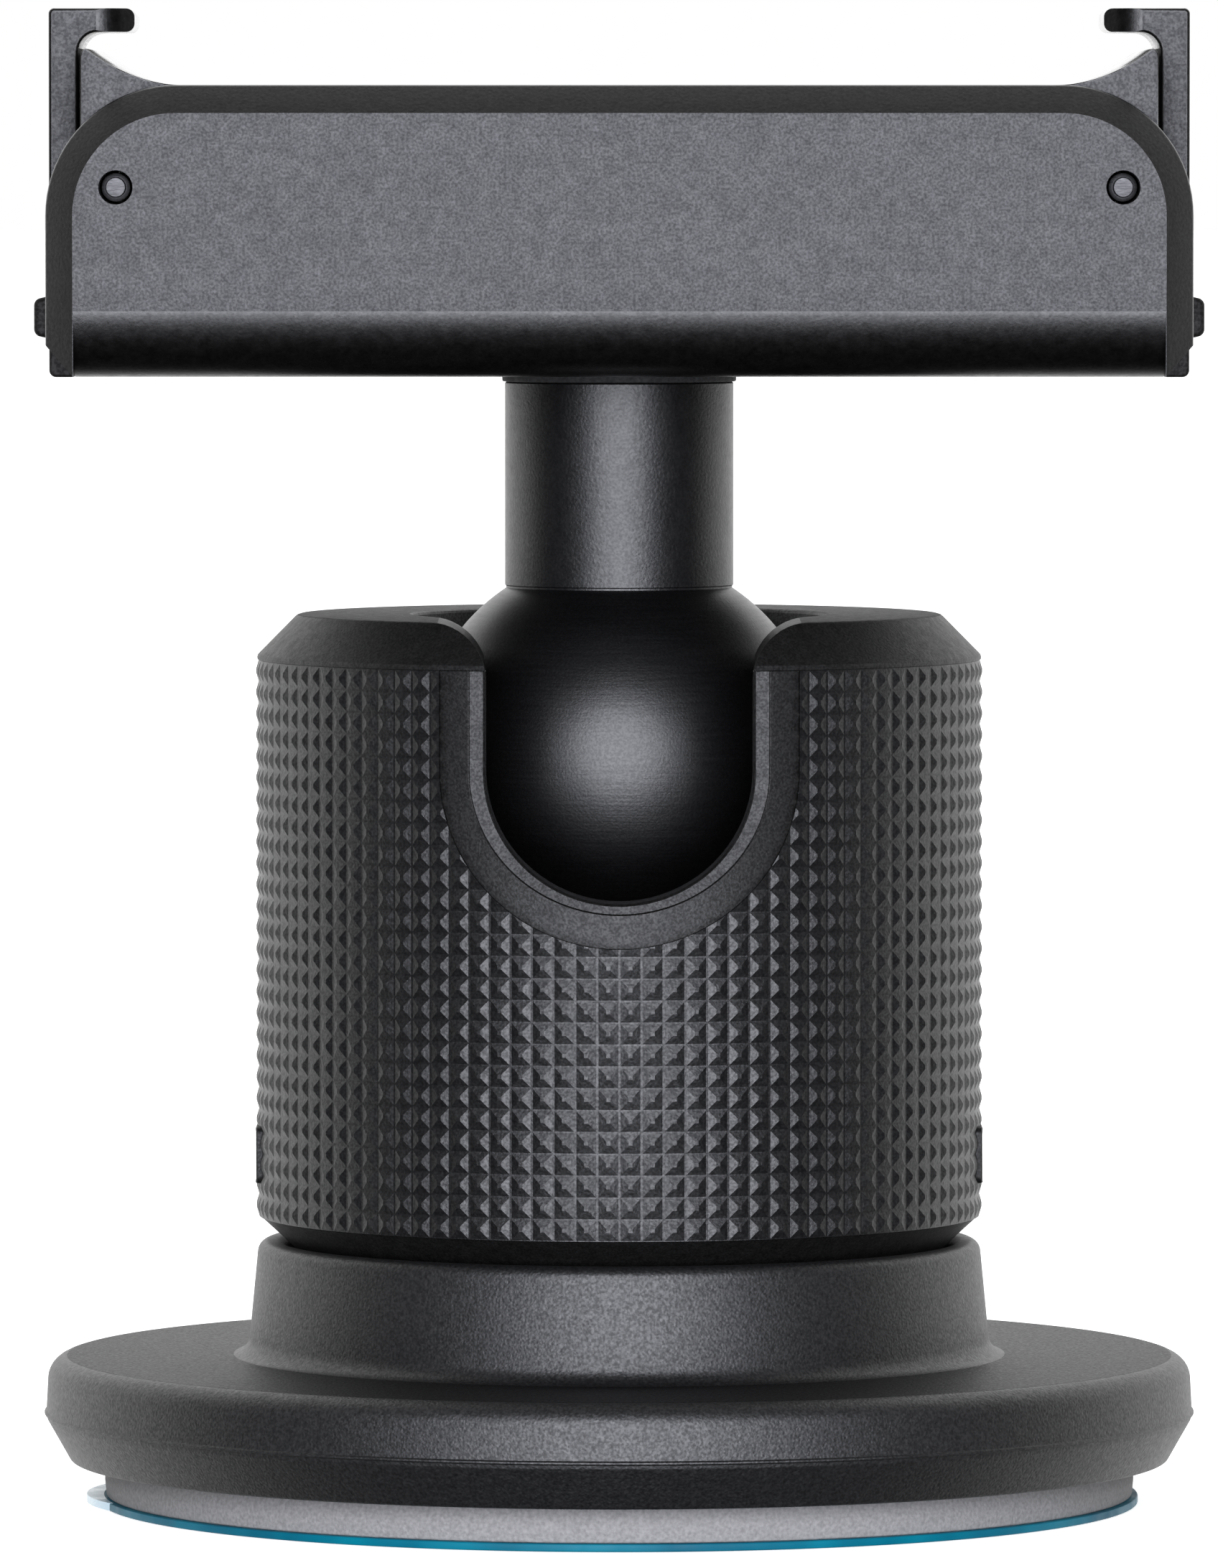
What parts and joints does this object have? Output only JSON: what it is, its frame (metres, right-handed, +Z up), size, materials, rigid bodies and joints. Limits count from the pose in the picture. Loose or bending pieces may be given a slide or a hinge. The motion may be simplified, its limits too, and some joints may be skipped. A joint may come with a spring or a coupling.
{
  "type": "ball joint camera mount",
  "caption": "Adhesive disc base with a knurled locking sleeve, a slotted ball joint and a quick-release head whose side claws grip a small camera.",
  "frame": {"origin": "centre of the release film's underside, on the base disc's axis", "axes": "+Z up along the base disc and sleeve, -Y to the front where the sleeve's slot is, +X to the right claw"},
  "size_m": [0.0424, 0.0418, 0.0543],
  "materials": {
    "film": "thin translucent release film",
    "foam": "grey acrylic foam tape",
    "moulded": "fine moulded grain",
    "anodised": "black anodised, knurled",
    "satin": "black anodised, satin",
    "coated": "fine-grain dark grey coating",
    "steel": "plain",
    "nylon": "black nylon",
    "rubber": "matte",
    "plated": "nickel plated"
  },
  "bodies": {
    "base": {"release_film": "film", "adhesive_pad": "foam", "base_disc": "moulded", "base_stud_screw": "steel", "socket_post": "satin", "thrust_washer": "steel"},
    "core": {"lower_seat": "nylon"},
    "sleeve": {"grip_sleeve": "anodised", "clamp_sleeve": "satin", "upper_seat": "nylon"},
    "stem": {"ball_stud": "satin", "neck_washer": "rubber", "head_screw": "steel"},
    "head": {"head_shell": "coated", "bottom_cover": "moulded", "cover_screw_1": "steel", "cover_screw_2": "steel", "cover_screw_3": "steel", "cover_screw_4": "steel", "magnet_tray": "coated", "seat_pad": "rubber", "magnet_left": "plated", "magnet_right": "plated", "hinge_pin_left": "steel", "hinge_pin_right": "steel", "claw_spring_left": "steel", "claw_spring_right": "steel"},
    "claw_left": {"claw_lever_left": "satin", "release_button_left": "satin"},
    "claw_right": {"claw_lever_right": "satin", "release_button_right": "satin"}
  },
  "joints": [
    {"name": "sleeve_turn", "type": "hinge", "parent": "base", "child": "core", "pos_m": [0, 0, 0.02], "axis": [0, 0, 1], "range_deg": [0, 180]},
    {"name": "sleeve_lift", "type": "slide", "parent": "core", "child": "sleeve", "axis": [0, 0, 1], "range_m": [0, 0.0005]},
    {"name": "ball_tilt", "type": "hinge", "parent": "core", "child": "stem", "pos_m": [0, 0, 0.02714], "axis": [1, 0, 0], "range_deg": [-25, 90]},
    {"name": "head_spin", "type": "hinge", "parent": "stem", "child": "head", "pos_m": [0, 0, 0.0411], "axis": [0, 0, 1], "continuous": true},
    {"name": "claw_left_swing", "type": "hinge", "parent": "head", "child": "claw_left", "pos_m": [-0.0179, 0, 0.04786], "axis": [0, -1, 0], "range_deg": [0, 20], "stiffness_Nm_per_rad": 0.05, "springref_deg": -5.73},
    {"name": "claw_right_swing", "type": "hinge", "parent": "head", "child": "claw_right", "pos_m": [0.0179, 0, 0.04786], "axis": [0, 1, 0], "range_deg": [0, 20], "stiffness_Nm_per_rad": 0.05, "springref_deg": -5.73}
  ],
  "couplings": [
    {"joint": "sleeve_lift", "follows": "sleeve_turn", "m_per_rad": 0.000159}
  ]
}
